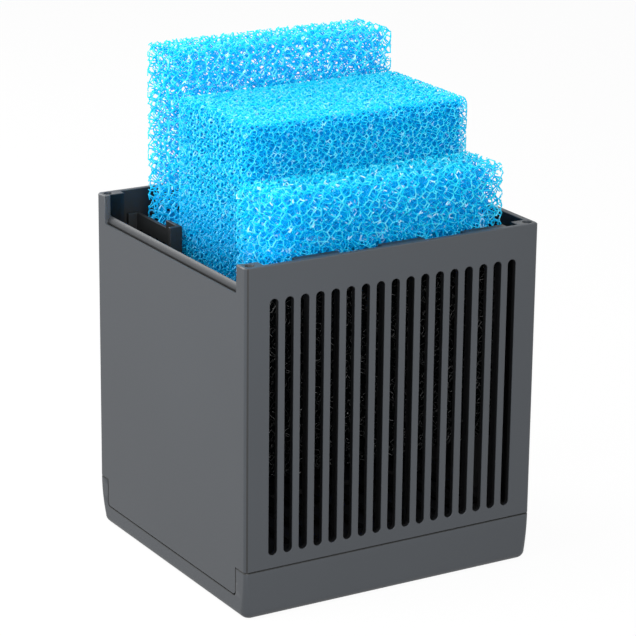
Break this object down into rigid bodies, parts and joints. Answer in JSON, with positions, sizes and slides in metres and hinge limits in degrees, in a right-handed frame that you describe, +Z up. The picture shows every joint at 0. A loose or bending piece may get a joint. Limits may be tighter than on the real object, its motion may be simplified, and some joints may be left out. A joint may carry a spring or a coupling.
{
  "type": "aquarium filter module",
  "caption": "Slotted box-shaped filter chamber on a snug bottom cap, with foam slabs on edge drawn up out of its open top and suction cups on the rear wall.",
  "frame": {"origin": "on the ground, under the middle of the whole object with its suction cups", "axes": "+X to the right along the slotted front, +Y to the rear with the suction cups, +Z up"},
  "size_m": [0.12, 0.12, 0.1857],
  "materials": {
    "housing_plastic": "fine satin texture",
    "cap_plastic": "fine satin texture",
    "screen_plastic": "satin",
    "coarse_foam": "open-cell reticulated foam",
    "fine_foam": "open-cell reticulated foam",
    "cup_rubber": "smooth moulded"
  },
  "bodies": {
    "base_cap": {"base_cap": "cap_plastic"},
    "housing": {"housing": "housing_plastic", "suction_cup_1": "cup_rubber", "suction_cup_2": "cup_rubber", "suction_cup_3": "cup_rubber", "suction_cup_4": "cup_rubber"},
    "riser_screen": {"riser_screen": "screen_plastic"},
    "foam_front": {"foam_front": "coarse_foam"},
    "foam_middle": {"foam_middle": "fine_foam"},
    "foam_rear": {"foam_rear": "coarse_foam"}
  },
  "joints": [
    {"name": "housing_lift", "type": "slide", "parent": "base_cap", "child": "housing", "axis": [0, 0, 1], "range_m": [0, 0.03]},
    {"name": "screen_lift", "type": "slide", "parent": "housing", "child": "riser_screen", "axis": [0, 0, 1], "range_m": [0, 0.11]},
    {"name": "foam_front_slide", "type": "slide", "parent": "housing", "child": "foam_front", "axis": [0, 0, 1], "range_m": [-0.0263, 0.0837]},
    {"name": "foam_middle_slide", "type": "slide", "parent": "housing", "child": "foam_middle", "axis": [0, 0, 1], "range_m": [-0.0452, 0.0648]},
    {"name": "foam_rear_slide", "type": "slide", "parent": "housing", "child": "foam_rear", "axis": [0, 0, 1], "range_m": [-0.0607, 0.0493]}
  ]
}
